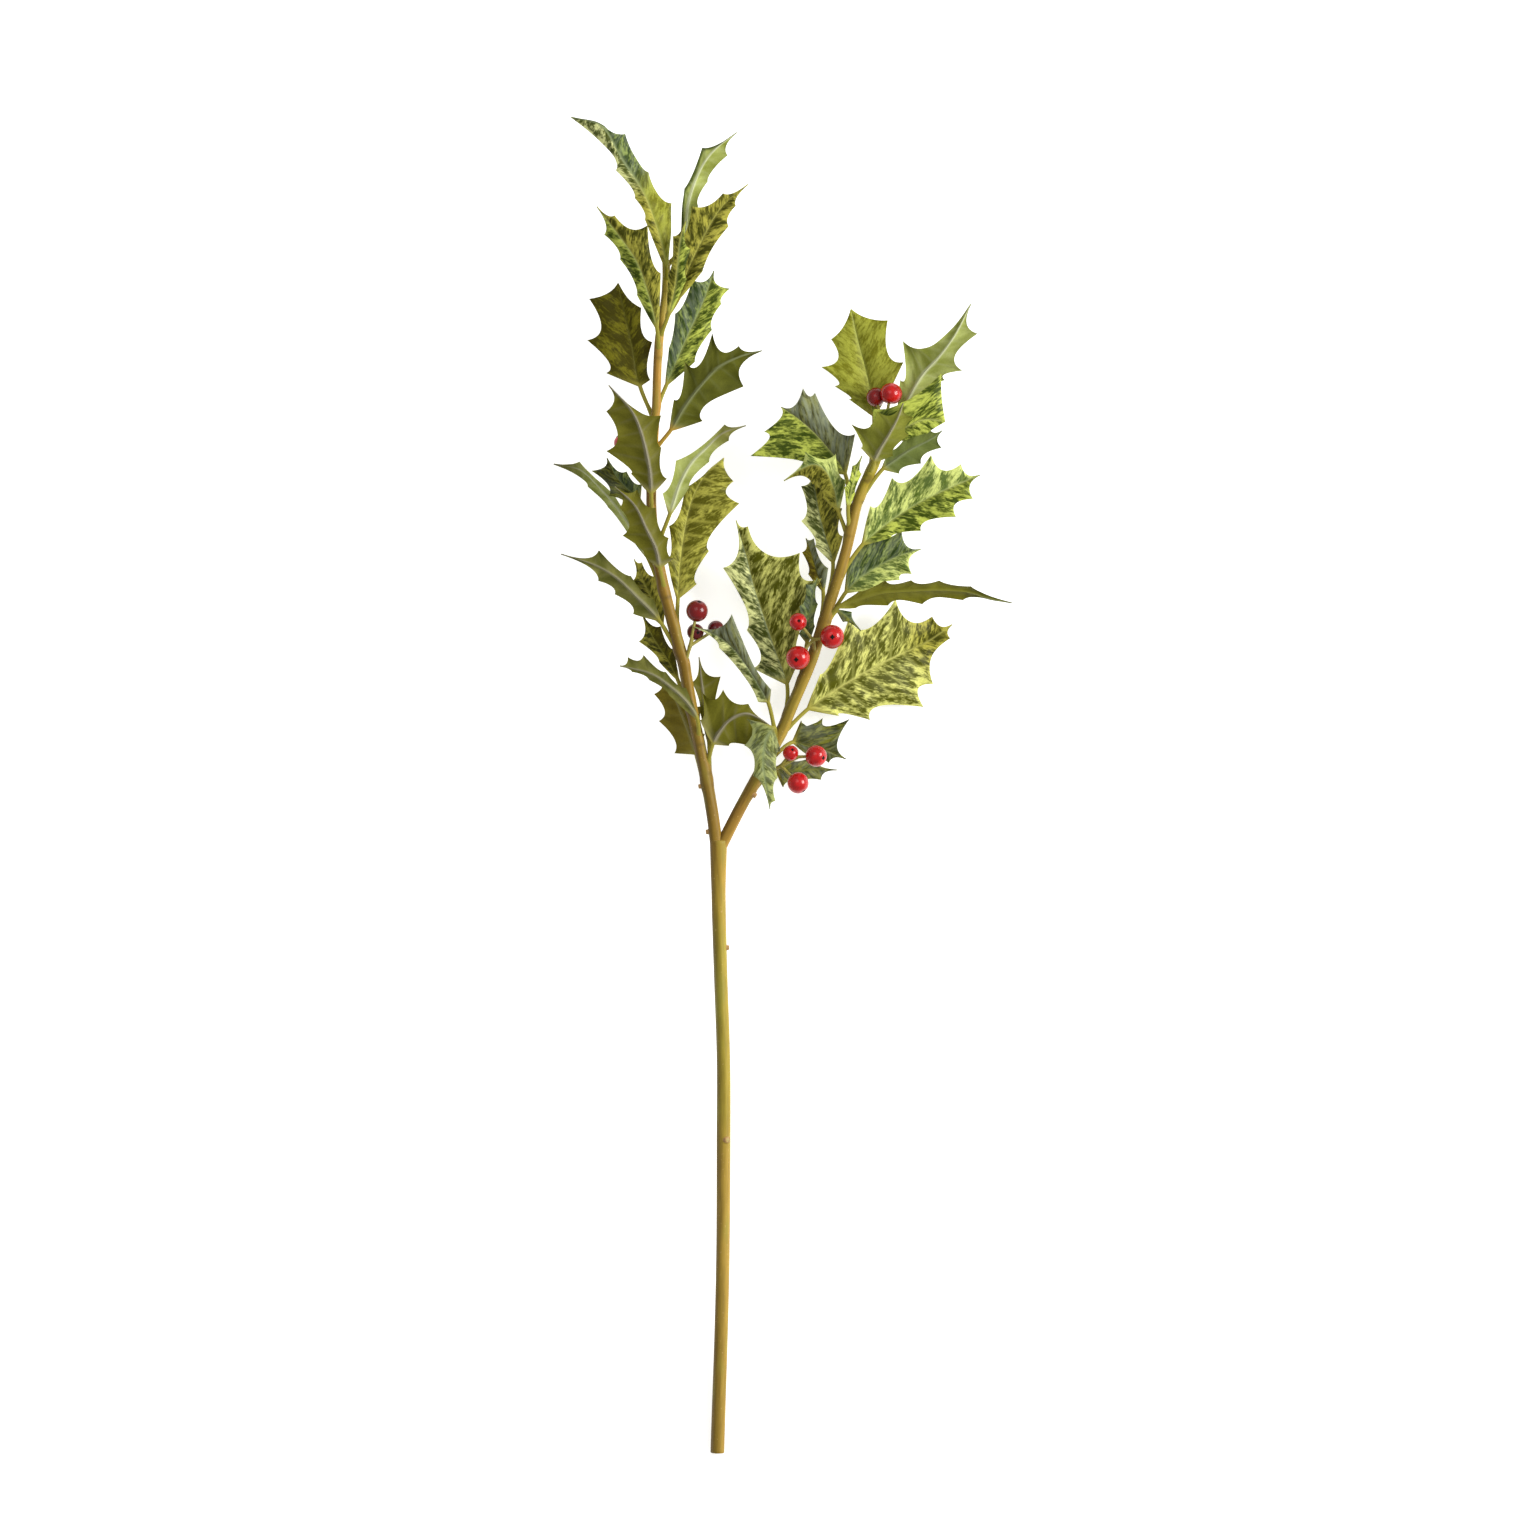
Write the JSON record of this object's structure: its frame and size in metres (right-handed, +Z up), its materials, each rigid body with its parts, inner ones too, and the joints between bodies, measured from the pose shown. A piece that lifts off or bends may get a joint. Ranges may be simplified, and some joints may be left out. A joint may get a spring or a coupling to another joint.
{
  "type": "holly sprig",
  "caption": "Cut, forked holly twig with spined, yellow-mottled leaves and clusters of red berries, lying on a surface, for bouquets, wreaths and table decoration.",
  "frame": {"origin": "on the surface that the sprig lies on, under the middle of its box", "axes": "+Z up from the surface, +Y from the cut end of the stem to the leafy tips, +X to the right as the sprig is seen from above"},
  "size_m": [0.2298, 0.6696, 0.0484],
  "materials": {
    "bark": "smooth young bark, olive-gold, satin",
    "leaf": "leathery blade, dark olive streaked with pale yellow-green, glossy above and matt below",
    "berry": "glossy red skin"
  },
  "bodies": {
    "root": {"stem": "bark", "leaf_l01": "leaf", "leaf_l03": "leaf", "leaf_l04": "leaf", "leaf_l05": "leaf", "leaf_l06": "leaf", "leaf_l07": "leaf", "leaf_l08": "leaf", "leaf_l09": "leaf", "leaf_l10": "leaf", "leaf_l11": "leaf", "leaf_l12": "leaf", "leaf_l13": "leaf", "leaf_l14": "leaf", "leaf_l15": "leaf", "leaf_l16": "leaf", "leaf_l17": "leaf", "leaf_l18": "leaf", "leaf_l19": "leaf", "leaf_l20": "leaf", "leaf_l21": "leaf", "leaf_l22": "leaf", "leaf_r01": "leaf", "leaf_r02": "leaf", "leaf_r03": "leaf", "leaf_r04": "leaf", "leaf_r05": "leaf", "leaf_r06": "leaf", "leaf_r07": "leaf", "leaf_r08": "leaf", "leaf_r09": "leaf", "leaf_r10": "leaf", "leaf_r11": "leaf", "leaf_r12": "leaf", "leaf_r13": "leaf", "leaf_r14": "leaf", "leaf_r15": "leaf", "leaf_r16": "leaf", "leaf_r17": "leaf", "leaf_r18": "leaf", "leaf_r19": "leaf", "leaf_r20": "leaf", "leaf_r21": "leaf", "berries_a": "berry", "berries_b": "berry", "berries_c": "berry", "berries_d": "berry", "berries_e": "berry"}
  },
  "joints": []
}
